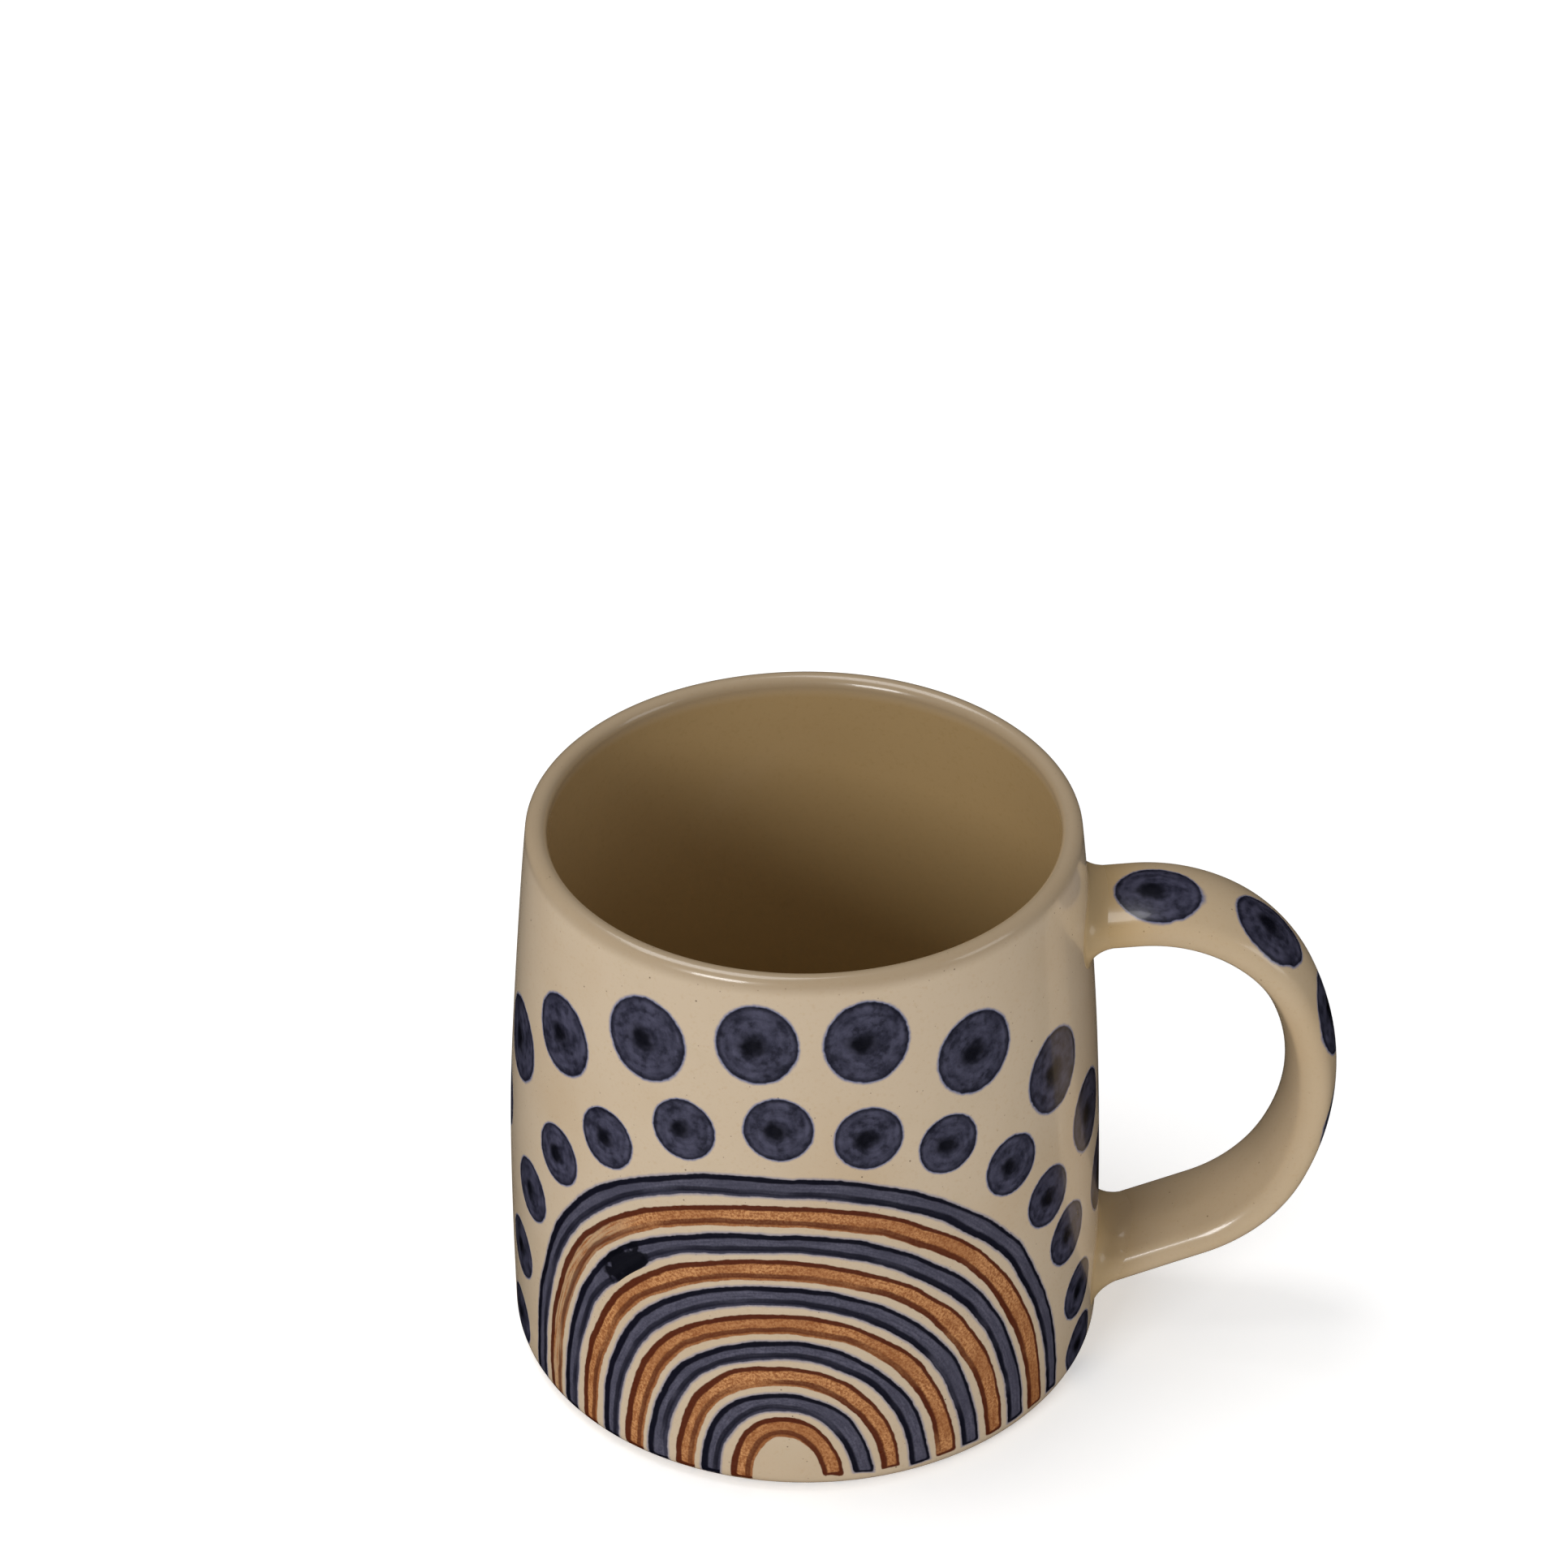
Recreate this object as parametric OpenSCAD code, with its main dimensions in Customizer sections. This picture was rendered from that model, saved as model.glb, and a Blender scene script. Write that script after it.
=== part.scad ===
// Stoneware mug with a strap handle.
// Frame: origin at the centre of the foot on the table, +Z up, +X towards the handle.
// Units: millimetres and degrees.

/* [Mug] */
// Height from the table to the top of the lip
mug_h = 94.5; // [78:0.1:120]
// Outer diameter just under the lip
rim_d = 85; // [70:0.5:102]
// Outer diameter just above the rounded bottom edge
base_d = 94; // [78:0.1:113]
// How far the middle of the wall swells past a straight cone
wall_bulge = 1.4; // [0.6:0.1:3]

/* [Walls] */
// Thickness of the fully rounded lip
lip_t = 3.2; // [2.6:0.1:4.2]
// Thickness of the wall where it meets the floor
wall_t = 4.2; // [3.4:0.1:5.5]
// Thickness of the floor over the foot ring
floor_t = 5.5; // [4.6:0.1:7]
// Radius of the outer bottom edge
edge_r = 3.5; // [2.5:0.1:5]
// Radius inside, between the wall and the floor
cove_r = 10; // [6:0.5:14]

/* [Foot] */
// Width of the flat ring that the mug stands on
foot_w = 4.5; // [3:0.1:6]
// How high the middle of the underside is hollowed
recess_h = 1.6; // [1:0.1:2.2]
// How far the side of that hollow leans inwards on its way up
recess_lean = 2; // [1:0.1:3]

/* [Handle] */
// Thickness of the strap, measured away from the mug
strap_t = 8; // [6.5:0.1:10]
// Width of the strap, side to side
strap_w = 18.5; // [15:0.5:23]
// Radius of the strap's two rounded edges
strap_edge_r = 2.7; // [2:0.1:3]
// How far the handle stands out past the bottom edge of the mug
reach = 36.7; // [30:0.1:46]
// Depth of the strap's upper end below the lip
top_drop = 17; // [16:0.5:24]
// Height of the strap's lower end above the table
low_h = 11.2; // [9:0.1:14]
// Bend radius of the shoulder, to the middle of the strap
shoulder_r = 25; // [20:0.5:30]
// Bend radius of the heel, to the middle of the strap
heel_r = 25; // [20:0.5:30]
// Rise of the strap as it leaves the wall
rise_a = 5; // [0:1:8]
// Slope of the strap below the shoulder, down from level
shoulder_a = 64; // [60:1:70]
// Slope of the strap above the heel, down from level
heel_a = 114; // [110:1:118]
// Direction of the strap as it comes back to the wall, down from level
tail_a = 158; // [154:1:162]

/* [Slip joints] */
// How far the upper joint spreads over the wall round the strap
top_spread = 1.8; // [1:0.1:2.4]
// How far the lower joint spreads over the wall round the strap
low_spread = 2.4; // [1:0.1:2.6]
// How far each joint climbs along the strap
joint_climb = 3.2; // [2:0.1:4]
// Thickness of the slip at the joint's two rims
joint_rim = 0.3; // [0.2:0.05:0.5]

/* [Hidden] */

glaze_colour = [0.80, 0.72, 0.58];
slip_colour = [0.72, 0.62, 0.48];

round_fn = 180;   // segments of a turned surface
wall_steps = 16;  // lengths that a long wall curve is drawn in
arc_step = 12;    // most degrees in one length of a small round
ring_step = 6;    // most degrees of bend between two rings of the strap
hollow_step = 15; // degrees between two rings of a slip joint
tuck = 1;         // how far the end of a slip joint is tucked inside the strap before trimming

// Heights where the wall curve starts and ends
lip_r = lip_t / 2;
wall_top_z = mug_h - lip_r;
wall_low_z = edge_r;

// A shallow curve from a low point to a top point that swells outwards by bulge:
// its radius, and its centre as [r, z].
function chord(low, top) = norm(top - low);
function curve_r(low, top, bulge) = (pow(chord(low, top) / 2, 2) + bulge * bulge) / (2 * bulge);
function curve_c(low, top, bulge) =
    (low + top) / 2 - (curve_r(low, top, bulge) - bulge)
    * [top[1] - low[1], low[0] - top[0]] / chord(low, top);
function curve_at(c, r, z) = c[0] + sqrt(r * r - pow(z - c[1], 2));
function curve_points(c, r, z0, z1) =
    [for (i = [0:wall_steps]) let (z = z0 + (z1 - z0) * i / wall_steps) [curve_at(c, r, z), z]];

// Points of an arc about c, both ends included
function arc_points(c, r, from, to) =
    let (n = ceil(abs(to - from) / arc_step))
    [for (i = [0:n]) let (a = from + (to - from) * i / n) c + r * [cos(a), sin(a)]];
// All the points but the last, where the next run starts on the same spot
function but_last(points) = [for (i = [0:len(points) - 2]) points[i]];

// Outer wall
outer_low = [base_d / 2, wall_low_z];
outer_top = [rim_d / 2, wall_top_z];
outer_r = curve_r(outer_low, outer_top, wall_bulge);
outer_c = curve_c(outer_low, outer_top, wall_bulge);
function wall_at(z) = curve_at(outer_c, outer_r, z);
// Centres of the rounds that touch the outer wall from inside
lip_x = curve_at(outer_c, outer_r - lip_r, wall_top_z);
edge_x = curve_at(outer_c, outer_r - edge_r, edge_r);

// Inner wall
inner_low = [base_d / 2 - wall_t, floor_t];
inner_top = [lip_x - lip_r, wall_top_z];
inner_r = curve_r(inner_low, inner_top, wall_bulge);
inner_c = curve_c(inner_low, inner_top, wall_bulge);
cove_z = floor_t + cove_r;
cove_x = curve_at(inner_c, inner_r - cove_r, cove_z);

// Foot
foot_out = edge_x;
foot_in = foot_out - foot_w;

// Middle line of the strap, in the XZ plane: a lead, a shoulder bend, a long side bend,
// a heel bend and a tail. Headings are degrees up from +X.
lead_at = [wall_at(mug_h - top_drop), mug_h - top_drop];
tail_at = [wall_at(low_h), low_h];
heads = [rise_a, -shoulder_a, -heel_a, -tail_a];
function along(a) = [cos(a), sin(a)];
function bend_step(r, from, to) = r * [sin(from) - sin(to), cos(to) - cos(from)];
shoulder_step = bend_step(shoulder_r, heads[0], heads[1]);
heel_step = bend_step(heel_r, heads[2], heads[3]);
side_unit = bend_step(1, heads[1], heads[2]);
side_half = bend_step(1, heads[1], -90);
// The lead, the side bend and the tail take the sizes that give the reach and meet the wall
out_x = base_d / 2 + reach - strap_t / 2 - lead_at[0] - shoulder_step[0];
tail_slope = tan(heads[3]);
side_r = (tail_at[1] - lead_at[1] - out_x * tan(heads[0]) - shoulder_step[1] - heel_step[1]
          - tail_slope * (tail_at[0] - lead_at[0] - out_x - shoulder_step[0] - heel_step[0]))
         / (side_unit[1] - side_half[0] * tan(heads[0])
            - tail_slope * (side_unit[0] - side_half[0]));
lead_l = (out_x - side_half[0] * side_r) / cos(heads[0]);
shoulder_at = lead_at + lead_l * along(heads[0]);
side_at = shoulder_at + shoulder_step;
heel_at = side_at + side_r * side_unit;
tail_from = heel_at + heel_step;
tail_l = norm(tail_at - tail_from);
embed = strap_t / 2;  // how far the strap runs on inside the outer wall before it is trimmed

// Section of the strap, grown by grow all round: an oval of two crowned faces and two
// rounded edges that meet smoothly, as points of [thickness, width]
edge_y = strap_w / 2 - strap_edge_r;
crown_r = (edge_y * edge_y + pow(strap_t / 2, 2) - pow(strap_edge_r, 2))
          / (strap_t - 2 * strap_edge_r);
crown_x = crown_r - strap_t / 2;
crown_a = atan2(edge_y, crown_x);
function section(grow) = concat(
    but_last(arc_points([-crown_x, 0], crown_r + grow, -crown_a, crown_a)),
    but_last(arc_points([0, edge_y], strap_edge_r + grow, crown_a, 180 - crown_a)),
    but_last(arc_points([crown_x, 0], crown_r + grow, 180 - crown_a, 180 + crown_a)),
    but_last(arc_points([0, -edge_y], strap_edge_r + grow, 180 + crown_a, 360 - crown_a)));

// A section stood across the middle line at p on heading a. With a wall radius given,
// its sides fall back as the round wall does.
function fall(y, wall_r) = wall_r == 0 ? 0 : wall_r - sqrt(wall_r * wall_r - y * y);
function ring_at(p, a, grow = 0, wall_r = 0) = [for (e = section(grow))
    [p[0] - e[0] * sin(a) - fall(e[1], wall_r), e[1], p[1] + e[0] * cos(a)]];

// Rings round a bend from p, the end left out
function bend_rings(p, from, to, r) =
    let (n = ceil(abs(to - from) / ring_step))
    [for (i = [0:n - 1]) let (a = from + (to - from) * i / n)
        ring_at(p + bend_step(r, from, a), a)];

// Rings skinned into one closed solid
module skin(rings) {
    n = len(rings[0]);
    last = len(rings) - 1;
    polyhedron(
        points = [for (ring = rings, point = ring) point],
        faces = concat(
            [[for (j = [n - 1:-1:0]) j]],
            [for (i = [0:last - 1], j = [0:n - 1]) let (k = (j + 1) % n)
                [i * n + j, i * n + k, (i + 1) * n + k, (i + 1) * n + j]],
            [[for (j = [0:n - 1]) last * n + j]]));
}

module strap() {
    skin(concat(
        [ring_at(lead_at - embed * along(heads[0]), heads[0])],
        bend_rings(shoulder_at, heads[0], heads[1], shoulder_r),
        bend_rings(side_at, heads[1], heads[2], side_r),
        bend_rings(heel_at, heads[2], heads[3], heel_r),
        [ring_at(tail_from, heads[3]), ring_at(tail_at + embed * along(heads[3]), heads[3])]));
}

// Half sections of the mug, as points of [radius, height]: the outside from the foot up
// to the lip, the clay itself, and the full block that the outside bounds
outside = concat(
    but_last(arc_points([edge_x, edge_r], edge_r, -90, 0)),
    but_last(curve_points(outer_c, outer_r, wall_low_z, wall_top_z)));
clay = concat(
    outside,
    but_last(arc_points([lip_x, wall_top_z], lip_r, 0, 180)),
    but_last(curve_points(inner_c, inner_r, wall_top_z, cove_z)),
    arc_points([cove_x, cove_z], cove_r, 0, -90),
    [[0, floor_t], [0, recess_h], [foot_in - recess_lean, recess_h], [foot_in, 0]]);
block = concat([[0, 0]], outside, [outer_top, [0, wall_top_z]]);

module turned(points) {
    rotate_extrude($fn = round_fn) polygon(points);
}

module mug_body() {
    color(glaze_colour) turned(clay);
}

module handle() {
    color(glaze_colour) difference() {
        strap();
        turned(block);
    }
}

// Slip wiped into a hollow curve between the wall and the strap, which leaves the wall at p
// on heading a
module slip_joint(p, a, spread) {
    color(slip_colour) difference() {
        skin(concat(
            [ring_at(p - embed / 2 * along(a), a, spread)],
            [for (u = [0:hollow_step:90])
                ring_at(p + (joint_rim + joint_climb * (1 - cos(u))) * along(a), a,
                        joint_rim + (spread - joint_rim) * (1 - sin(u)), p[0])],
            [ring_at(p + (joint_climb - tuck) * along(a), a, -tuck)]));
        turned(block);
        strap();
    }
}

module upper_slip_joint() {
    slip_joint(lead_at, heads[0], top_spread);
}

module lower_slip_joint() {
    slip_joint(tail_at, 180 + heads[3], low_spread);
}

mug_body();
handle();
upper_slip_joint();
lower_slip_joint();
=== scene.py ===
import math

import bpy
import numpy as np
from mathutils import Matrix


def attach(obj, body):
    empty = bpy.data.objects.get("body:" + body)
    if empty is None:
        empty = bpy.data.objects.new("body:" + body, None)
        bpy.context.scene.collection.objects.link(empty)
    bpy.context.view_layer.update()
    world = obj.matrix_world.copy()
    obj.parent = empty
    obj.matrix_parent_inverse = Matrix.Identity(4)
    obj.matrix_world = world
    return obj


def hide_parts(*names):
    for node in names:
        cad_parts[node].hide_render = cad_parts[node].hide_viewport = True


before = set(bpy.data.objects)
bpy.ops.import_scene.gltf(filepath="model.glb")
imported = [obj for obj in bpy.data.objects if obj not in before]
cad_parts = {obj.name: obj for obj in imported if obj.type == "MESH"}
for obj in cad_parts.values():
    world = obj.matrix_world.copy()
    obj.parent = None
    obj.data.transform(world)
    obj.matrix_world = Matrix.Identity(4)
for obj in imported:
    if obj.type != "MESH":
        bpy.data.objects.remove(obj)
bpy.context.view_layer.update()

# -------------------------------------------------------------------------------------------
# The pot. It is thrown in one piece from buff stoneware, with a full round lip, a wall that
# swells a little on its way in towards the lip, and a turned foot. Its underside is wiped
# clean of glaze, so the ring that it stands on is bare clay.
# -------------------------------------------------------------------------------------------
MM = 0.001
TURN = 2 * math.pi

pot_height = 94.5
lip_radius = 1.6
edge_radius = 3.5
cove_radius = 10.0
floor_height = 5.5
recess_height = 1.6
recess_lean = 2.0
foot_width = 4.5
wall_swell = 1.4
wall_foot = (47.0, edge_radius)
wall_head = (42.5, pot_height - lip_radius)
inside_foot = (42.8, floor_height)


def bowed(foot, head, swell):
    """Centre and radius, in mm, of the shallow curve that swells out between two points."""
    rise_r, rise_z = head[0] - foot[0], head[1] - foot[1]
    chord = math.hypot(rise_r, rise_z)
    radius = ((chord / 2) ** 2 + swell**2) / (2 * swell)
    back = (radius - swell) / chord
    centre = ((foot[0] + head[0]) / 2 - back * rise_z, (foot[1] + head[1]) / 2 + back * rise_r)
    return centre, radius


def bowed_at(curve, height, inset=0.0):
    """Distance of that curve from the axis at a height, inset by some mm."""
    (centre_r, centre_z), radius = curve
    return centre_r + np.sqrt((radius - inset) ** 2 - (height - centre_z) ** 2)


def rounded(centre, radius, start, end, steps):
    """Points round part of a circle, its angles in degrees."""
    turns = np.radians(np.linspace(start, end, steps + 1))
    return [(centre[0] + radius * math.cos(t), centre[1] + radius * math.sin(t)) for t in turns]


outer_wall = bowed(wall_foot, wall_head, wall_swell)
lip_centre = (bowed_at(outer_wall, wall_head[1], lip_radius), wall_head[1])
edge_centre = (bowed_at(outer_wall, edge_radius, edge_radius), edge_radius)
inner_wall = bowed(inside_foot, (lip_centre[0] - lip_radius, wall_head[1]), wall_swell)
cove_top = floor_height + cove_radius
cove_centre = (bowed_at(inner_wall, cove_top, cove_radius), cove_top)
foot_inside = edge_centre[0] - foot_width

flat_steps = 12              # lengths that the floor and the underside are drawn in
wall_steps = 90
outline = [(r, recess_height) for r in np.linspace(0, foot_inside - recess_lean, flat_steps)]
outline += [(foot_inside - recess_lean / 3, recess_height / 4), (foot_inside, 0)]
outline += rounded(edge_centre, edge_radius, -90, 0, 9)
outer_heights = np.linspace(edge_radius, wall_head[1], wall_steps + 1)[1:]
outline += [(bowed_at(outer_wall, z), z) for z in outer_heights]
outline += rounded(lip_centre, lip_radius, 0, 180, 14)[1:]
inner_heights = np.linspace(wall_head[1], cove_top, 40)[1:]
outline += [(bowed_at(inner_wall, z), z) for z in inner_heights]
outline += rounded(cove_centre, cove_radius, 0, -90, 12)[1:]
outline += [(r, floor_height) for r in np.linspace(cove_centre[0], 0, flat_steps)[1:]]

turn_steps = 288
seam_gap = 0.02 * MM

bpy.ops.object.select_all(action="DESELECT")
bpy.ops.mesh.primitive_plane_add(size=MM)
pot = bpy.context.object
pot.name = "glazed_pot"
bpy.ops.object.mode_set(mode="EDIT")
bpy.ops.mesh.select_all(action="SELECT")
bpy.ops.mesh.merge(type="CENTER")
bpy.ops.transform.translate(value=(0, 0, recess_height * MM))
for (r0, z0), (r1, z1) in zip(outline, outline[1:]):
    step = (0, (r0 - r1) * MM, (z1 - z0) * MM)
    bpy.ops.mesh.extrude_vertices_move(TRANSFORM_OT_translate={"value": step})
bpy.ops.mesh.select_all(action="SELECT")
bpy.ops.mesh.spin(steps=turn_steps, angle=TURN, center=(0, 0, 0), axis=(0, 0, 1))
bpy.ops.mesh.select_all(action="SELECT")
bpy.ops.mesh.remove_doubles(threshold=seam_gap)
bpy.ops.mesh.normals_make_consistent(inside=False)
bpy.ops.object.mode_set(mode="OBJECT")
bpy.ops.object.shade_smooth()


def thrown_by_hand(piece, name, depth, reach, above):
    """Give a piece the slow unevenness of hand work, above a height in mm."""
    spots = places(piece)
    held = piece.vertex_groups.new(name=name)
    held.add([int(i) for i in np.flatnonzero(spots[:, 2] > above)], 1.0, "REPLACE")
    clouds = bpy.data.textures.new(name, "CLOUDS")
    clouds.noise_scale = reach * MM
    clouds.noise_depth = 0
    uneven = piece.modifiers.new(name, "DISPLACE")
    uneven.texture = clouds
    uneven.texture_coords = "LOCAL"
    uneven.vertex_group = name
    uneven.strength = depth * MM
    uneven.mid_level = 0.5
    bpy.context.view_layer.objects.active = piece
    bpy.ops.object.modifier_apply(modifier=name)


def places(piece):
    """Where the corners of a piece's mesh are, in mm."""
    found = np.zeros(len(piece.data.vertices) * 3)
    piece.data.vertices.foreach_get("co", found)
    return found.reshape(-1, 3) / MM


thrown_by_hand(pot, "throwing", depth=0.35, reach=38, above=8)

# -------------------------------------------------------------------------------------------
# The brushwork on the wall, front and back: ten arches one inside the other, cobalt blue and
# iron brown by turns, under two rows of cobalt dots that follow them. It is painted on the
# pot before the clear glaze goes on, so it has no thickness that shows.
# -------------------------------------------------------------------------------------------
paint_radius = 46.3          # distances round the pot are measured at this radius
way_round = TURN * paint_radius

arch_middle = -3.0
arch_count = 10
arch_reach, arch_reach_step = 49.5, 4.5
arch_crest, arch_crest_step = 60.8, 5.08
left_fullness, right_fullness = 2.3, 2.05
stroke_share = 0.9           # of the last arch's spacing that its stroke may fill
no_arch = -8.0               # what a place well away from the arches is given
no_dot = 9.0


def arch_number(across, up):
    """How many arches in from the outermost one each place lies, 0 being its outer edge."""
    fullness = np.where(across < 0, left_fullness, right_fullness)
    low = np.full(len(across), no_arch)
    high = np.full(len(across), arch_count + stroke_share)
    halvings = 40
    for _ in range(halvings):
        middle = (low + high) / 2
        reach = arch_reach - arch_reach_step * middle
        crest = arch_crest - arch_crest_step * middle
        inside = (np.abs(across) / reach) ** fullness + (up / crest) ** fullness < 1
        low = np.where(inside, middle, low)
        high = np.where(inside, high, middle)
    return low


def dotted_row(middle, reach, crest, radius, first, left, right, left_gap, right_gap, stray, seed):
    """Dots strung along an arch, from the first by the crest and outwards both ways."""
    fullness = 2.15
    line_steps = 800
    bends = np.linspace(-1, 1, line_steps + 1) * math.pi / 2
    across = np.sign(bends) * reach * np.abs(np.sin(bends)) ** (2 / fullness)
    up = crest * np.cos(bends) ** (2 / fullness)
    along = np.concatenate([[0], np.cumsum(np.hypot(np.diff(across), np.diff(up)))])
    along -= along[len(along) // 2]
    stops = [first - left_gap * (i + 1) for i in range(left)]
    stops += [first + right_gap * i for i in range(right)]
    hand = np.random.default_rng(seed)
    dots = []
    for stop in stops:
        stop += hand.uniform(-stray, stray)
        drift = hand.uniform(-stray, stray) * 0.9
        size = radius * hand.uniform(0.97, 1.04)
        x = middle + np.interp(stop, along, across)
        dots.append((x, np.interp(stop, along, up) + drift, size))
    return dots


dots = dotted_row(-5.6, 76.3, 83.6, 6.8, first=-3.0, left=4, right=6,
                  left_gap=19.2, right_gap=19.5, stray=1.6, seed=11308)
dots += dotted_row(-3.3, 58, 68.7, 5.25, first=-0.5, left=6, right=8,
                   left_gap=15.5, right_gap=13.8, stray=0.9, seed=22948)


def remember(piece, name, values):
    """Keep a number for each corner of a mesh, for its finish to read."""
    layer = piece.data.attributes.new(name, "FLOAT", "POINT")
    layer.data.foreach_set("value", np.asarray(values, np.float32))


spots = places(pot)
height = spots[:, 2]
from_axis = np.hypot(spots[:, 0], spots[:, 1])
wall_here = bowed_at(outer_wall, np.clip(height, edge_radius, None))
skin = 2.0                   # how deep under the outer wall a corner still counts as outside
innermost = wall_here - skin - edge_radius * (height < edge_radius)
outside = (height < wall_head[1]) & (from_axis > innermost)
under = np.arcsin(np.clip((edge_radius - height) / edge_radius, 0, 1))
painted_height = np.where(height < edge_radius, edge_radius * (1 - under), height)
round_pot = np.arctan2(spots[:, 0], -spots[:, 1]) * paint_radius
behind = np.abs(round_pot) > way_round / 4
across = np.where(behind, round_pot - np.sign(round_pot) * way_round / 2, round_pot)
across = across - arch_middle
arches = arch_number(across, np.clip(painted_height, 0.01, None))
remember(pot, "arch", np.where(outside, arches, no_arch))
sweep = np.arctan2(across / arch_reach, np.clip(painted_height, 0, None) / arch_crest)
remember(pot, "sweep", sweep)
remember(pot, "painted_height", painted_height)

nearest = np.full(len(spots), no_dot)
dot_x = np.zeros(len(spots))
dot_y = np.zeros(len(spots))
for half_turn in (0, way_round / 2):
    for x, y, radius in dots:
        gap = round_pot - x - half_turn
        gap = (gap - way_round * np.round(gap / way_round)) / radius
        rise = (painted_height - y) / radius
        near = np.hypot(gap, rise)
        closer = near < nearest
        nearest = np.where(closer, near, nearest)
        dot_x = np.where(closer, gap, dot_x)
        dot_y = np.where(closer, rise, dot_y)
remember(pot, "dot", np.where(outside, nearest, no_dot))
remember(pot, "dot_x", dot_x)
remember(pot, "dot_y", dot_y)

restart_across, restart_up, restart_size = -26.0, 38.0, 5.0
restart = np.hypot(across - restart_across, painted_height - restart_up) / restart_size
remember(pot, "restart", np.where(outside & ~behind, np.exp(-restart**2), 0))

# Painted shade inside the pot: the numbers kept as inside and depth fade in a browner honey colour
# below the lip and deepen it towards the bottom, where the inside lies in shade.
inner_skin = 0.6
inside_height = 90.0
lip_blend = 3.6              # how far below the lip the inside has its full colour
inner_face = from_axis < bowed_at(inner_wall, np.clip(height, floor_height, None)) + inner_skin
inner_face &= height > floor_height - 1
down = pot_height - height
depth = np.clip(down / inside_height, 0, 1)
remember(pot, "inside", np.where(inner_face, np.clip(down / lip_blend, 0, 1), 0))
remember(pot, "depth", np.where(inner_face, depth, 0))


class Tone:
    """A socket of a finish. Arithmetic on it adds the Math node that works it out."""

    def __init__(self, tree, socket=None):
        self.tree = tree
        self.socket = socket

    def node(self, kind, settings=None, values=None, out=0):
        """Add a node: its settings first, then what its sockets hold or are fed."""
        made = self.tree.nodes.new("ShaderNode" + kind)
        for name, value in (settings or {}).items():
            setattr(made, name, value)
        for name, value in (values or {}).items():
            if isinstance(value, Tone):
                self.tree.links.new(value.socket, made.inputs[name])
            else:
                made.inputs[name].default_value = value
        return Tone(self.tree, made.outputs[out])

    def math(self, operation, *values):
        return self.node("Math", {"operation": operation}, dict(enumerate(values)))

    def __add__(self, other):
        return self.math("ADD", self, other)

    def __radd__(self, other):
        return self.math("ADD", other, self)

    def __sub__(self, other):
        return self.math("SUBTRACT", self, other)

    def __rsub__(self, other):
        return self.math("SUBTRACT", other, self)

    def __mul__(self, other):
        return self.math("MULTIPLY", self, other)

    def __rmul__(self, other):
        return self.math("MULTIPLY", other, self)

    def least(self, other):
        return self.math("MINIMUM", self, other)

    def softly_least(self, other, reach):
        return self.math("SMOOTH_MIN", self, other, reach)

    def most(self, other):
        return self.math("MAXIMUM", self, other)

    def rise(self, low, high):
        """0 below low and 1 above high, smooth between; falls instead where low is above high."""
        ends = {"Value": self, "From Min": low, "From Max": high}
        return self.node("MapRange", {"interpolation_type": "SMOOTHSTEP"}, ends)

    def line(self, middle, half_width):
        """1 along a middle value, falling to 0 at half_width on each side of it."""
        return self.math("ABSOLUTE", self - middle).rise(half_width, half_width * 0.45)

    def kept(self, name):
        """A number that was kept for each corner of the mesh."""
        return self.node("Attribute", {"attribute_name": name}, out="Fac")

    def grain(self, place, size, detail=2.0, seed=0.0, roughness=0.5):
        """Cloudy noise from 0 to 1, its patches about size mm across."""
        values = {"Vector": place, "W": seed, "Scale": 1 / (size * MM), "Detail": detail,
                  "Roughness": roughness}
        return self.node("TexNoise", {"noise_dimensions": "4D"}, values)

    def uneven(self, place, size, amount, seed):
        """Cloudy unevenness that strays by up to half the amount each way."""
        return (self.grain(place, size, seed=seed) - 0.5) * amount

    def mix(self, mask, under, over):
        """One colour over another by a mask."""
        return self.node("Mix", {"data_type": "RGBA"}, {0: mask, 6: under, 7: over}, out=2)


def pigment(red, green, blue):
    """A colour as a maker reads it off a chart, from 0 to 255, for a shader."""
    chart = np.array([red, green, blue]) / 255
    return (*np.where(chart <= 0.04045, chart / 12.92, ((chart + 0.055) / 1.055) ** 2.4), 1.0)


cream = pigment(190, 171, 146)
cream_thin = pigment(178, 152, 118)
cream_deep = pigment(185, 167, 141)
speck_brown = pigment(70, 50, 34)
# The two honey colours are painted shade for the inside of the pot, which has the same glaze as the
# outside.
shade_honey = pigment(182, 153, 106)
deep_shade_honey = pigment(163, 134, 82)
lip_thin = pigment(146, 126, 98)
cobalt_wash = pigment(61, 60, 75)
cobalt_light = pigment(95, 93, 109)
cobalt_pool = pigment(8, 8, 24)
cobalt_bleed = pigment(58, 86, 140)
cobalt_dot = pigment(39, 39, 55)
cobalt_dot_light = pigment(77, 76, 96)
cobalt_drop = pigment(9, 9, 18)
iron_wash = pigment(139, 81, 39)
iron_light = pigment(196, 140, 88)
iron_pool = pigment(78, 24, 3)
iron_edge = pigment(132, 78, 38)
bare_clay = pigment(150, 124, 96)


def start_finish(name):
    """A new finish, as a first Tone to build on and the shader that it ends in."""
    finish = bpy.data.materials.new(name)
    finish.use_nodes = True
    return finish, Tone(finish.node_tree), finish.node_tree.nodes["Principled BSDF"]


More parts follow.
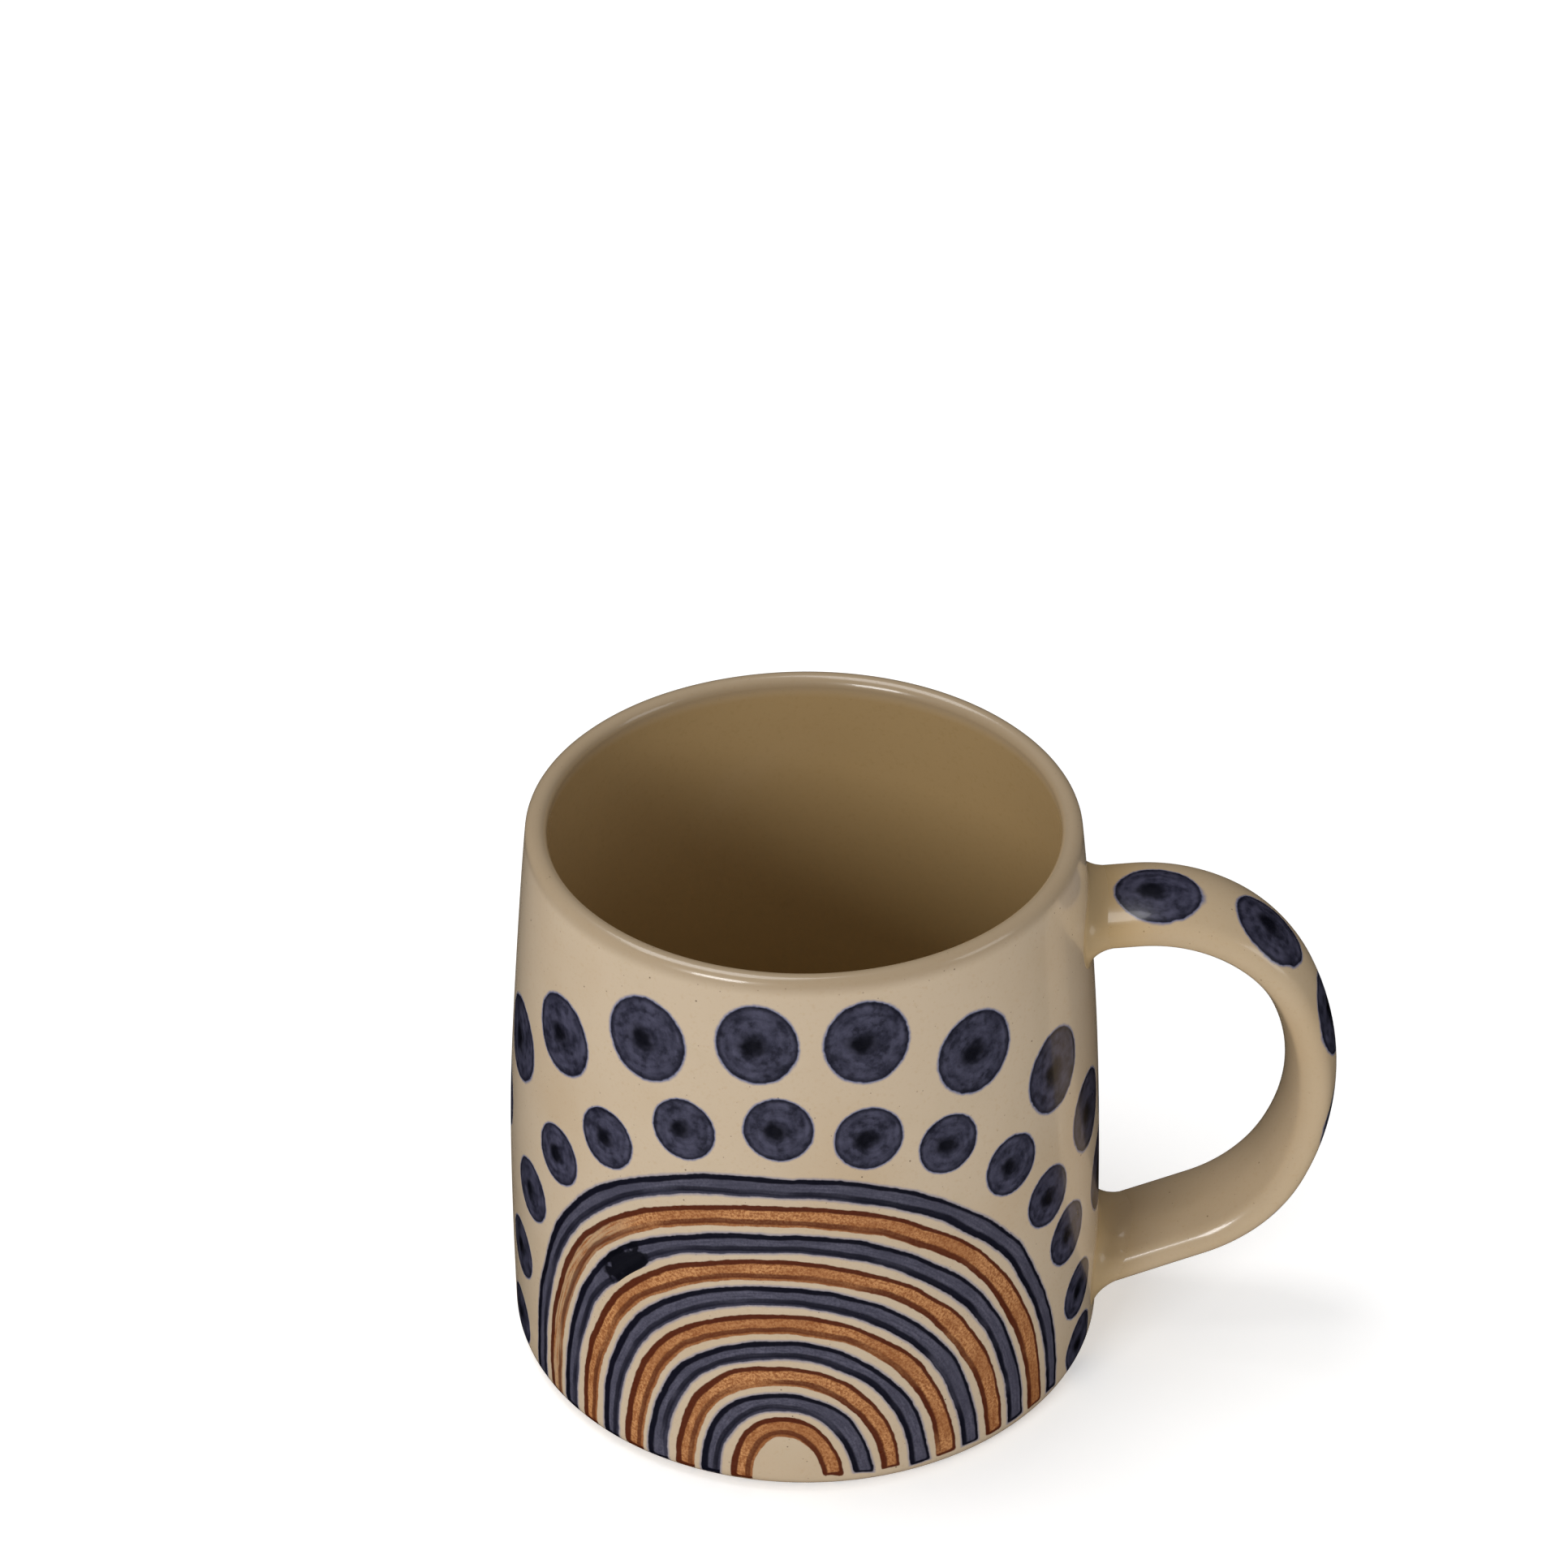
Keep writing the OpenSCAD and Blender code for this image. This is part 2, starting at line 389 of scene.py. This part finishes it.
def clear_glaze(tone, place):
    """The glaze over bare clay: its colour, which drifts slowly and has fine iron specks,
    and the height in mm of its surface, which lies in soft waves like orange peel."""
    drift = tone.grain(place, 26, detail=3)
    colour = tone.mix(drift.rise(0.42, 0.8) * 0.5, cream, cream_thin)
    colour = tone.mix(tone.grain(place, 7, seed=4).rise(0.5, 0.8) * 0.5, colour, cream_deep)
    colour = tone.mix(tone.grain(place, 0.55, seed=2).rise(0.52, 0.78) * 0.32, colour, cream_thin)
    for size, spread, strength in ((2.6, 0.075, 0.75), (1.2, 0.11, 0.5)):
        cells = {"Vector": place, "Scale": 1 / (size * MM)}
        near = tone.node("TexVoronoi", None, cells, out="Distance")
        chance = tone.node("TexVoronoi", None, cells, out="Color")
        speck = near.rise(spread, spread * 0.45) * chance.rise(0.45, 0.6) * strength
        colour = tone.mix(speck, colour, speck_brown)
    waves = tone.grain(place, 11, seed=7) * 0.05 + tone.grain(place, 1.6, seed=8) * 0.006
    return colour, waves


def cobalt_dots(tone, place, colour):
    """Round cobalt dots: the brush is set down a little off centre, where most pigment
    stays, turned, and lifted at the rim, where it pools again and bleeds into the glaze."""
    out = tone.kept("dot") * (0.97 + tone.grain(place, 3.6, seed=11) * 0.07)
    out = out + tone.uneven(place, 0.9, 0.06, seed=12)
    x, y = tone.kept("dot_x"), tone.kept("dot_y")
    swirl = tone.node("CombineXYZ", None, {0: out * 0.006, 1: x * 0.0016, 2: y * 0.0016})
    brushed = tone.grain(swirl, 1.1, detail=4, seed=13)
    mottled = tone.grain(place, 1.5, detail=4, seed=14, roughness=0.6)
    worked = (brushed * 0.55 + mottled * 0.55).rise(0.38, 0.78)
    wash = tone.mix(worked, cobalt_dot, cobalt_dot_light)
    wash = tone.mix(mottled.rise(0.5, 0.34) * 0.35, wash, cobalt_drop)
    set_down_x, set_down_y = 0.1, 0.02       # how far off centre the brush was set down
    off_x, off_y = x + set_down_x, y + set_down_y
    drop = tone.math("SQRT", off_x * off_x + off_y * off_y * 1.3)
    drop = drop + tone.uneven(place, 1.8, 0.4, seed=15)
    wash = tone.mix(drop.rise(0.5, 0.12) * 0.92, wash, cobalt_drop)
    wash = tone.mix(out.rise(0.84, 0.96) * 0.7, wash, cobalt_pool)
    colour = tone.mix(out.rise(1.07, 0.98) * 0.75, colour, cobalt_bleed)
    return tone.mix(out.rise(1.005, 0.965), colour, wash), out.rise(1.0, 0.97)


def brushed_arches(tone, place, colour):
    """The arches. Pigment pools along both edges of a stroke and where its second pass laps
    the first, and the wash between them is thin, streaked along the stroke and grainy.
    Sizes across a stroke are in parts of the spacing from one arch to the next."""
    arch, sweep = tone.kept("arch"), tone.kept("sweep")
    height, restart = tone.kept("painted_height"), tone.kept("restart")
    lead = 0.16                  # how far outside its own line a stroke may wander
    mitre = 0.16                 # how softly a stroke's sides turn into its end
    number = tone.math("FLOOR", arch + lead)
    odd = tone.math("MODULO", number, 2)
    own = number * 3.7           # keeps the unevenness of each arch its own
    wander = tone.uneven(place, 17, 0.34, seed=own)
    wander = wander + tone.uneven(place, 2.6, 0.08, seed=own + 1)
    half_width = 0.365
    wider_brown = 0.025
    width = half_width + odd * wider_brown + tone.uneven(place, 13, 0.2, seed=own + 2)
    third = number.line(2, 0.9) * restart * (0.35 + tone.grain(place, 2.0, seed=24) * 1.3)
    width = width + third * 0.17
    stroke_middle = 0.37
    off = arch - stroke_middle - number + wander
    outer, inner = width + off, width - off
    left_end, right_lift = 1.3, 1.7          # mm above the table where the strokes stop
    ends = left_end + sweep.rise(-0.4, 0.9) * right_lift
    ends = ends + tone.uneven(place, 6, 1.8, seed=own + 3)
    end = (height - ends) * 0.2
    bleed = tone.uneven(place, 0.9, 0.06, seed=21)
    edge = outer.least(inner).softly_least(end, mitre) + bleed
    last = arch_count - lead
    among = (arch + lead).rise(0, 0.01) * arch.rise(last, last - 0.01)
    stroke = edge.rise(0.0, 0.045) * among

    right = sweep.rise(-0.2, 1.1)
    faint = tone.grain(place, 14, seed=own + 5)
    streak = tone.node("CombineXYZ", None, {0: arch * 0.02, 1: sweep * 0.012, 2: 0.0})
    streaks = tone.grain(streak, 1.4, detail=4, seed=own)
    fine = tone.grain(place, 0.42, detail=2, seed=22, roughness=0.7)
    thin = tone.grain(place, 9, seed=own + 6)

    pooled = 0.2 + sweep.rise(-0.3, -1.1) * 0.05 - right * 0.07
    pooled = pooled + tone.uneven(place, 7, 0.12, seed=own + 8)
    outer_line = outer.softly_least(end, mitre).rise(pooled + 0.03, pooled - 0.03)
    lap_at = 0.19 - right * 0.1 + tone.uneven(place, 12, 0.12, seed=own + 7)
    lap = (inner - lap_at).line(0, 0.12 + right * 0.06)
    lap = lap * (faint.rise(0.25, 0.5) * 0.8 + right * 0.2)
    pools = outer_line.most(lap)
    beyond = (inner - lap_at).rise(0.0, -0.04)

    blue = tone.mix((fine * 0.5 + streaks * 0.5).rise(0.35, 0.75), cobalt_wash, cobalt_light)
    blue = tone.mix(thin.rise(0.55, 0.35) * 0.45, blue, cobalt_wash)
    blue = tone.mix(beyond * 0.6, blue, cobalt_dot)
    blue = tone.mix(pools * 0.95, blue, cobalt_pool)
    brown = tone.mix((fine * 0.75 + streaks * 0.3).rise(0.4, 0.66), iron_wash, iron_light)
    brown = tone.mix(thin.rise(0.6, 0.35) * 0.5, brown, iron_wash)
    pale = number.line(1, 0.9) * sweep.rise(-0.45, -0.85)
    brown = tone.mix(pale * streaks.rise(0.35, 0.6) * 0.8, brown, cream_thin)
    brown = tone.mix(beyond * 0.55, brown, iron_edge)
    brown = tone.mix(pools * 0.95, brown, iron_pool)
    wash = tone.mix(odd, blue, brown)
    blot = third.rise(0.2, 0.4) * (tone.grain(place, 1.7, seed=23) + third * 0.3).rise(0.5, 0.64)
    wash = tone.mix(blot * 0.95, wash, cobalt_drop)

    halo = edge.rise(-0.09, 0.02) * among * (1 - odd) * end.rise(-0.1, 0)
    colour = tone.mix(halo * 0.5, colour, cobalt_bleed)
    return tone.mix(stroke, colour, wash), stroke


def close_finish(tone, shader, colour, roughness, relief):
    """Join up a glazed finish: a stony body under a thin glassy coat."""
    bump = {"Height": relief, "Distance": MM, "Strength": 1.0}
    normal = tone.node("Bump", None, bump)
    for socket, fed in (("Base Color", colour), ("Roughness", roughness), ("Normal", normal)):
        tone.tree.links.new(fed.socket, shader.inputs[socket])
    shader.inputs["Coat Weight"].default_value = 0.4
    shader.inputs["Coat Roughness"].default_value = 0.07


glaze_roughness = 0.2
paint_roughness = 0.05       # how much rougher the glaze is over paint
paint_relief = 0.012         # and how much it stands up there, in mm
lip_tint = (91.5, 93.8)      # heights that the thin brown glaze of the lip sets in over
wiped_foot = (0.9 * MM, 0.5 * MM)

finish, tone, shader = start_finish("painted_glaze")
place = tone.node("TexCoord", out="Object")
colour, relief = clear_glaze(tone, place)
# Painted shade: the inside turns browner and darker towards the bottom.
inside_shade_colour = tone.mix(tone.kept("depth").rise(0.1, 0.9), shade_honey, deep_shade_honey)
inside_shade_colour = tone.mix(tone.grain(place, 0.7, seed=34).rise(0.5, 0.8) * 0.3, inside_shade_colour, deep_shade_honey)
colour = tone.mix(tone.kept("inside") * 0.92, colour, inside_shade_colour)
colour = tone.mix(tone.kept("painted_height").rise(*lip_tint) * 0.6, colour, lip_thin)
colour, dotted = cobalt_dots(tone, place, colour)
colour, stroked = brushed_arches(tone, place, colour)
painted = dotted.most(stroked)
roughness = glaze_roughness + tone.grain(place, 4, seed=31) * 0.08 + painted * paint_roughness
axes = tone.node("SeparateXYZ", None, {0: place}, out=2)
bare = axes.rise(*wiped_foot)
colour = tone.mix(bare, colour, bare_clay)
colour = tone.mix(bare * tone.grain(place, 0.8, seed=32).rise(0.45, 0.7), colour, speck_brown)
roughness = roughness + bare * 0.5
relief = relief + painted * paint_relief + bare * tone.grain(place, 0.5, seed=33) * 0.12
close_finish(tone, shader, colour, roughness, relief)
pot.data.materials.clear()
pot.data.materials.append(finish)
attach(pot, "root")
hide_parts("mug_body")

# -------------------------------------------------------------------------------------------
# The handle. A strap is pulled from the same clay, bent while it is soft and pressed on to
# the leather-hard wall at its two ends. A row of cobalt dots runs down its outer face.
# -------------------------------------------------------------------------------------------
strap_thickness = 8.0
strap_width = 18.5
strap_edge_radius = 2.7
root_depth = 3.0
lead_start = (44.08, 77.5)
lead_length = 6.98
tail_length = 16.97
headings = [5.0, -64.0, -114.0, -158.0]      # degrees up from level, away from the pot
bend_radii = [25.0, 39.75, 25.0]
bend_pace = 2.0                              # degrees between two rings of the strap


def strap_section(grow, count):
    """The strap cut across, as places (through it, across it) on an oval of two crowned
    faces and two rounded edges, grown all round by some mm."""
    edge_y = strap_width / 2 - strap_edge_radius
    half = strap_thickness / 2
    crown = (edge_y**2 + half**2 - strap_edge_radius**2) / (strap_thickness - 2 * strap_edge_radius)
    crown_x = crown - half
    turn = math.degrees(math.atan2(edge_y, crown_x))
    pieces = [((-crown_x, 0), crown, -turn, turn), ((0, edge_y), strap_edge_radius, turn, 180 - turn)]
    pieces += [((crown_x, 0), crown, 180 - turn, 180 + turn)]
    pieces += [((0, -edge_y), strap_edge_radius, 180 + turn, 360 - turn)]
    arc_steps = 60
    points = []
    for centre, radius, start, end in pieces:
        points += rounded(centre, radius + grow, start, end, arc_steps)[:-1]
    points = np.array(points + points[:1])
    along = np.concatenate([[0], np.cumsum(np.hypot(*np.diff(points, axis=0).T))])
    stops = np.linspace(0, along[-1], count, endpoint=False)
    return np.stack([np.interp(stops, along, points[:, i]) for i in (0, 1)], 1)


def heading_unit(degrees):
    return np.array([math.cos(math.radians(degrees)), math.sin(math.radians(degrees))])


ring_count = 72
first_heading = headings[0]
ahead = heading_unit(first_heading)
upward = heading_unit(first_heading + 90)
inner_end = np.array(lead_start) - root_depth * ahead

bpy.ops.object.select_all(action="DESELECT")
bpy.ops.mesh.primitive_circle_add(vertices=ring_count, radius=MM, fill_type="NGON")
strap = bpy.context.object
strap.name = "pulled_handle"
for vertex, (through, side) in zip(strap.data.vertices, strap_section(0, ring_count)):
    x, z = inner_end + through * upward
    vertex.co = (x * MM, side * MM, z * MM)
bpy.ops.object.mode_set(mode="EDIT")
bpy.ops.mesh.select_all(action="SELECT")


def run_on(length, heading):
    """Draw the selected ring straight on."""
    x, z = length * heading_unit(heading) * MM
    bpy.ops.mesh.extrude_region_move(TRANSFORM_OT_translate={"value": (x, 0, z)})


lead_steps = 2
tail_steps = 8
for _ in range(lead_steps):
    run_on((lead_length + root_depth) / lead_steps, first_heading)
middle_line = np.array(lead_start) + lead_length * ahead
for radius, start, end in zip(bend_radii, headings, headings[1:]):
    centre = middle_line - radius * heading_unit(start + 90)
    pivot = (centre[0] * MM, 0, centre[1] * MM)
    steps = round((start - end) / bend_pace)
    bpy.ops.mesh.spin(steps=steps, angle=math.radians(start - end), center=pivot, axis=(0, -1, 0))
    middle_line = centre + radius * heading_unit(end + 90)
for _ in range(tail_steps):
    run_on((tail_length + root_depth) / tail_steps, headings[-1])
tail_end = middle_line + tail_length * heading_unit(headings[-1])
bpy.ops.mesh.select_all(action="SELECT")
bpy.ops.mesh.remove_doubles(threshold=seam_gap)
bpy.ops.mesh.normals_make_consistent(inside=False)
bpy.ops.object.mode_set(mode="OBJECT")
bpy.ops.object.shade_smooth()
thrown_by_hand(strap, "pulling", depth=0.3, reach=24, above=0)

strap_dot_radius = 6.2
strap_dot_first = 10.0
strap_dot_gap = 17.0
strap_dot_count = 6
strap_dot_side = -2.0
line_step = 0.5


def middle_places():
    """The strap's middle line in short steps: its places, and its heading at each."""
    rows = []
    place = np.array(lead_start)
    runs = [(lead_length, headings[0], headings[0])]
    for radius, start, end in zip(bend_radii, headings, headings[1:]):
        runs.append((radius * math.radians(start - end), start, end))
    runs.append((tail_length, headings[-1], headings[-1]))
    for length, start, end in runs:
        count = round(length / line_step)
        for i in range(count):
            heading = start + (end - start) * (i + 0.5) / count
            rows.append((*place, heading))
            place = place + length / count * heading_unit(heading)
    return np.array(rows)


line = middle_places()
spots = places(strap)
away = np.hypot(spots[:, 0, None] - line[None, :, 0], spots[:, 2, None] - line[None, :, 1])
closest = away.argmin(1)
facing = np.radians(line[closest, 2] + 90)
lift = (spots[:, 0] - line[closest, 0]) * np.cos(facing)
lift += (spots[:, 2] - line[closest, 1]) * np.sin(facing)
travelled = closest * line_step
order = np.clip(np.round((travelled - strap_dot_first) / strap_dot_gap), 0, strap_dot_count - 1)
dot_x = (travelled - strap_dot_first - strap_dot_gap * order) / strap_dot_radius
dot_y = -(spots[:, 1] - strap_dot_side) / strap_dot_radius
remember(strap, "dot", np.where(lift > 0, np.hypot(dot_x, dot_y), no_dot))
remember(strap, "dot_x", dot_x)
remember(strap, "dot_y", dot_y)


# This closeness to the wall sets where the painted shade at the handle's root lies.
def near_wall(tone, place):
    """How close a place on the handle is to the wall, from 1 down to 0."""
    return tone.node("SeparateXYZ", None, {0: place}, out=0).rise(56 * MM, 46 * MM)


finish, tone, shader = start_finish("handle_glaze")
place = tone.node("TexCoord", out="Object")
colour, relief = clear_glaze(tone, place)
# Painted shade: the whole handle takes some of the shaded honey colour, and more of it near the wall,
# where its root lies in shade.
colour = tone.mix(near_wall(tone, place) * 0.5 + 0.3, colour, shade_honey)
colour, dotted = cobalt_dots(tone, place, colour)
roughness = glaze_roughness + tone.grain(place, 4, seed=31) * 0.08 + dotted * paint_roughness
close_finish(tone, shader, colour, roughness, relief + dotted * paint_relief)
strap.data.materials.clear()
strap.data.materials.append(finish)
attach(strap, "root")
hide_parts("handle")

# -------------------------------------------------------------------------------------------
# The two slip joints. Wet clay is worked into the corner where each end of the handle meets
# the wall and wiped with a finger, so that it runs out to nothing on the wall and the strap.
# -------------------------------------------------------------------------------------------
joint_rounds = 96
joint_rings = 17
joint_feather = -0.04        # its thin end dips this far into the strap, so no rim shows
joint_root = 1.2             # how far it runs on inside the wall
joint_tuck = 1.0             # and inside the strap


def wall_meeting(origin, heading, through, side):
    """How far along the heading from origin a line of the strap meets the round wall."""
    ahead, upward = heading_unit(heading), heading_unit(heading + 90)
    start = origin + through[:, None] * upward
    reach = np.zeros(len(through))
    rounds = 12
    for _ in range(rounds):
        z = start[:, 1] + reach * ahead[1]
        wall_x = np.sqrt(bowed_at(outer_wall, z) ** 2 - side**2)
        reach = (wall_x - start[:, 0]) / ahead[0]
    return reach


def slip_joint(name, origin, heading, spread, climb, fuller, node):
    """A collar of slip round the strap, hollow on the outside, made from a ring. On the side
    that faces the finger gap it spreads and climbs fuller times as far."""
    curve = [(-joint_root, -joint_tuck), (-joint_root, spread), (-0.5, spread)]
    for u in np.radians(np.linspace(0, 90, joint_rings)):
        curve.append((climb * (1 - math.cos(u)), joint_feather + spread * (1 - math.sin(u))))
    curve += [(climb, -0.4), (climb * 0.6, -joint_tuck)]
    bpy.ops.object.select_all(action="DESELECT")
    bpy.ops.mesh.primitive_torus_add(
        major_segments=joint_rounds, minor_segments=len(curve), major_radius=10 * MM,
        minor_radius=3 * MM)
    joint = bpy.context.object
    joint.name = name
    ahead, upward = heading_unit(heading), heading_unit(heading + 90)
    gap_side = -1 if origin[1] > pot_height / 2 else 1
    rings = []
    plain = strap_section(0, joint_rounds)
    full = 1 + (fuller - 1) * np.clip(gap_side * plain[:, 0] / strap_thickness + 0.5, 0, 1)
    for reach, grow in curve:
        more = full[:, None] if grow > 0 else 1
        section = plain + (strap_section(grow, joint_rounds) - plain) * more
        reach = reach * full if reach > 0 else reach
        meets = wall_meeting(origin, heading, section[:, 0], section[:, 1])
        flat = origin + section[:, :1] * upward + (meets + reach)[:, None] * ahead
        rings.append(np.stack([flat[:, 0], section[:, 1], flat[:, 1]], 1))
    joint.data.vertices.foreach_set("co", np.stack(rings, 1).ravel() * MM)
    bpy.ops.object.mode_set(mode="EDIT")
    bpy.ops.mesh.select_all(action="SELECT")
    bpy.ops.mesh.normals_make_consistent(inside=False)
    bpy.ops.object.mode_set(mode="OBJECT")
    bpy.ops.object.shade_smooth()
    thrown_by_hand(joint, "pulling", depth=0.3, reach=24, above=0)
    joint.data.materials.clear()
    joint.data.materials.append(joint_finish)
    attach(joint, "root")
    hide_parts(node)


joint_finish, tone, shader = start_finish("joint_glaze")
place = tone.node("TexCoord", out="Object")
colour, relief = clear_glaze(tone, place)
# Painted shade: the joint takes the shaded honey colour, and more of it near the wall, where the root
# lies in shade.
colour = tone.mix(near_wall(tone, place) * 0.5 + 0.3, colour, shade_honey)
roughness = 0.3 + tone.grain(place, 4, seed=31) * 0.1
close_finish(tone, shader, colour, roughness, relief)

slip_joint("upper_wiped_joint", np.array(lead_start), headings[0], 2.2, 3.6, 1.3,
           "upper_slip_joint")
slip_joint("lower_wiped_joint", tail_end, headings[-1] + 180, 2.2, 3.6, 2.0,
           "lower_slip_joint")

# -------------------------------------------------------------------------------------------
# The table, lights and camera. The mug stands on a white sheet in a pale room, under soft
# lights from the front left, from above and, much weaker, from the right. It is seen from the
# front and well above.
# -------------------------------------------------------------------------------------------
bpy.ops.object.select_all(action="DESELECT")
bpy.ops.mesh.primitive_plane_add(size=6)
table = bpy.context.object
table.name = "white_table"
finish, tone, shader = start_finish("table_white")
place = tone.node("TexCoord", out="Object")
paper = tone.mix(tone.grain(place, 90, seed=40), pigment(250, 250, 250), pigment(246, 246, 246))
tone.tree.links.new(paper.socket, shader.inputs["Base Color"])
shader.inputs["Roughness"].default_value = 0.8
shader.inputs["Specular IOR Level"].default_value = 0.1
shader.inputs["Emission Color"].default_value = (1, 1, 1, 1)
shader.inputs["Emission Strength"].default_value = 0.36
table.data.materials.append(finish)
table.visible_glossy = False         # the glaze mirrors the lights, and not the white sheet

room = bpy.data.worlds.new("pale_room")
bpy.context.scene.world = room
room.use_nodes = True
room.cycles_visibility.glossy = False
room.node_tree.nodes["Background"].inputs["Color"].default_value = (1, 1, 1, 1)
room.node_tree.nodes["Background"].inputs["Strength"].default_value = 0.4


def soft_light(name, place, target, size, power):
    """A square soft box, aimed at a point."""
    bpy.ops.object.light_add(type="AREA", location=place)
    light = bpy.context.object
    light.name = name
    light.data.size = size
    light.data.energy = power
    aim = Matrix.Translation(target).to_translation() - light.location
    light.rotation_euler = aim.to_track_quat("-Z", "Y").to_euler()


soft_light("key_light", (-0.6, -0.95, 0.55), (0, 0, 0.05), 0.4, 6)
soft_light("top_light", (-0.34, 0.16, 1.25), (0, 0, 0.05), 0.72, 6.3)
soft_light("side_light", (0.9, -0.3, 0.4), (0, 0, 0.04), 0.4, 0.9)

eye_height = 0.502
eye_back = -0.600
pitch = math.radians(90 - 33.78)
yaw = math.radians(0.29)
roll = math.radians(-0.35)
bpy.ops.object.camera_add(location=(0, eye_back, eye_height))
camera = bpy.context.object
turned = Matrix.Rotation(yaw, 3, "Z") @ Matrix.Rotation(pitch, 3, "X")
camera.rotation_euler = (turned @ Matrix.Rotation(roll, 3, "Z")).to_euler()
camera.data.lens = 109.4
camera.data.sensor_width = 36
bpy.context.scene.camera = camera
bpy.context.scene.view_settings.view_transform = "Standard"
